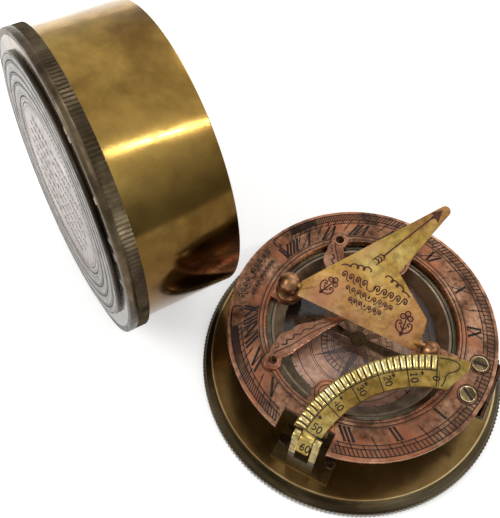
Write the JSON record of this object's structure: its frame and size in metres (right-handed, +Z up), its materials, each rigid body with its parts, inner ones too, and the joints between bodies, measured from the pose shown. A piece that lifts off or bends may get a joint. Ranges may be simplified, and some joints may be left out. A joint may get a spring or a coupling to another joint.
{
  "type": "sundial compass",
  "caption": "Brass sundial compass: hinged hour plate with a folding gnomon and latitude arc over a glazed compass drum, its drum-shaped lid lying beside the knurled base.",
  "frame": {"origin": "centre of the base's flat underside", "axes": "+Z up, +X from the dial's centre to XII (noon), +Y to the side of the morning hours"},
  "size_m": [0.1927, 0.1, 0.1002],
  "materials": {
    "base_plate": "aged and polished",
    "compass_drum": "aged satin",
    "compass_bowl": "aged satin",
    "compass_card": "coppery, engraved",
    "pivot_post": "turned",
    "glass_seat": "satin",
    "compass_glass": "clear",
    "bezel_ring": "turned",
    "compass_needle": "blued steel",
    "needle_cap": "turned",
    "hinge_leaf_fixed": "aged",
    "plate_hinge_pin": "drawn",
    "hinge_leaf_moving": "aged",
    "hinge_screws": "polished heads",
    "hour_plate": "coppery, engraved",
    "midnight_post": "coppery, polished",
    "noon_post": "coppery, polished",
    "gnomon": "aged, engraved",
    "scroll_arm_am": "coppery",
    "scroll_arm_pm": "coppery",
    "arm_rivets": "polished",
    "arc_bracket": "dark aged",
    "bracket_screws": "dark aged",
    "arc_pin": "drawn",
    "latitude_arc": "yellow, engraved",
    "lid_shell": "aged satin",
    "lid_rim": "dark knurled",
    "lid_medallion": "silvered, turned"
  },
  "bodies": {
    "base": {"base_plate": "base_plate", "compass_drum": "compass_drum", "compass_bowl": "compass_bowl", "compass_card": "compass_card", "pivot_post": "pivot_post", "glass_seat": "glass_seat", "compass_glass": "compass_glass", "bezel_ring": "bezel_ring", "hinge_leaf_fixed": "hinge_leaf_fixed", "plate_hinge_pin": "plate_hinge_pin", "arc_bracket": "arc_bracket", "bracket_screws": "bracket_screws", "arc_pin": "arc_pin"},
    "plate": {"hour_plate": "hour_plate", "hinge_leaf_moving": "hinge_leaf_moving", "hinge_screws": "hinge_screws", "midnight_post": "midnight_post", "noon_post": "noon_post", "scroll_arm_am": "scroll_arm_am", "scroll_arm_pm": "scroll_arm_pm", "arm_rivets": "arm_rivets"},
    "gnomon": {"gnomon": "gnomon"},
    "arc": {"latitude_arc": "latitude_arc"},
    "needle": {"compass_needle": "compass_needle", "needle_cap": "needle_cap"},
    "lid": {"lid_shell": "lid_shell", "lid_rim": "lid_rim", "lid_medallion": "lid_medallion"}
  },
  "joints": [
    {"name": "plate_tilt", "type": "hinge", "parent": "base", "child": "plate", "pos_m": [0.042, 0, 0.0285], "axis": [0, 1, 0], "range_deg": [0, 15.6]},
    {"name": "arc_fold", "type": "hinge", "parent": "base", "child": "arc", "pos_m": [0.0008, -0.04, 0.0322], "axis": [1, 0, 0], "range_deg": [0, 78]},
    {"name": "gnomon_fold", "type": "hinge", "parent": "plate", "child": "gnomon", "pos_m": [0, 0, 0.0373], "axis": [1, 0, 0], "range_deg": [-38, 52]},
    {"name": "needle_spin", "type": "hinge", "parent": "base", "child": "needle", "pos_m": [0, 0, 0.0206], "axis": [0, 0, 1], "continuous": true},
    {"name": "lid_lift", "type": "slide", "parent": "base", "child": "lid", "axis": [0, 0, 1], "range_m": [0, 0.08]}
  ],
  "couplings": [
    {"joint": "arc_fold", "follows": "plate_tilt", "ratio": 5}
  ]
}
